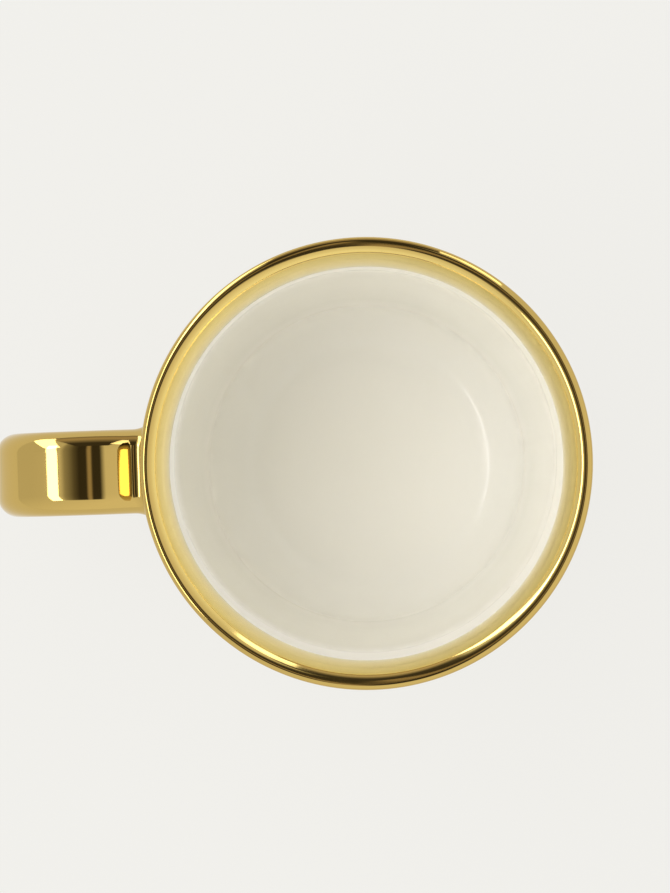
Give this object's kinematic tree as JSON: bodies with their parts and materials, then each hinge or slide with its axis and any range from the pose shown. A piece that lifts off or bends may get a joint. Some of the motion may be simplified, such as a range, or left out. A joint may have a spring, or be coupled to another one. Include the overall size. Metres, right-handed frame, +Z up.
{
  "type": "mug",
  "caption": "Tapered porcelain mug with a wide strap handle: mirror-gold lustre outside and over the lip, cream-white glaze inside, bare foot ring below.",
  "frame": {"origin": "on the surface the mug stands on, under the middle of its whole length, handle included; the cup's own axis is the line x = 0.01525 m, y = 0", "axes": "+Z up along the cup's axis towards the rim, +X away from the handle, so the handle points to -X and the mug is alike on both sides of y = 0"},
  "size_m": [0.1185, 0.088, 0.092],
  "materials": {
    "bisque_porcelain": "matte",
    "luting_slip": "matte",
    "gold_lustre": "polished",
    "white_glaze": "gloss"
  },
  "bodies": {
    "root": {"porcelain_body": "bisque_porcelain", "porcelain_handle": "bisque_porcelain", "upper_slip_joint": "luting_slip", "lower_slip_joint": "luting_slip", "gilded_body_glaze": "gold_lustre", "gilded_handle_glaze": "gold_lustre", "white_inner_glaze": "white_glaze", "white_base_glaze": "white_glaze"}
  },
  "joints": []
}
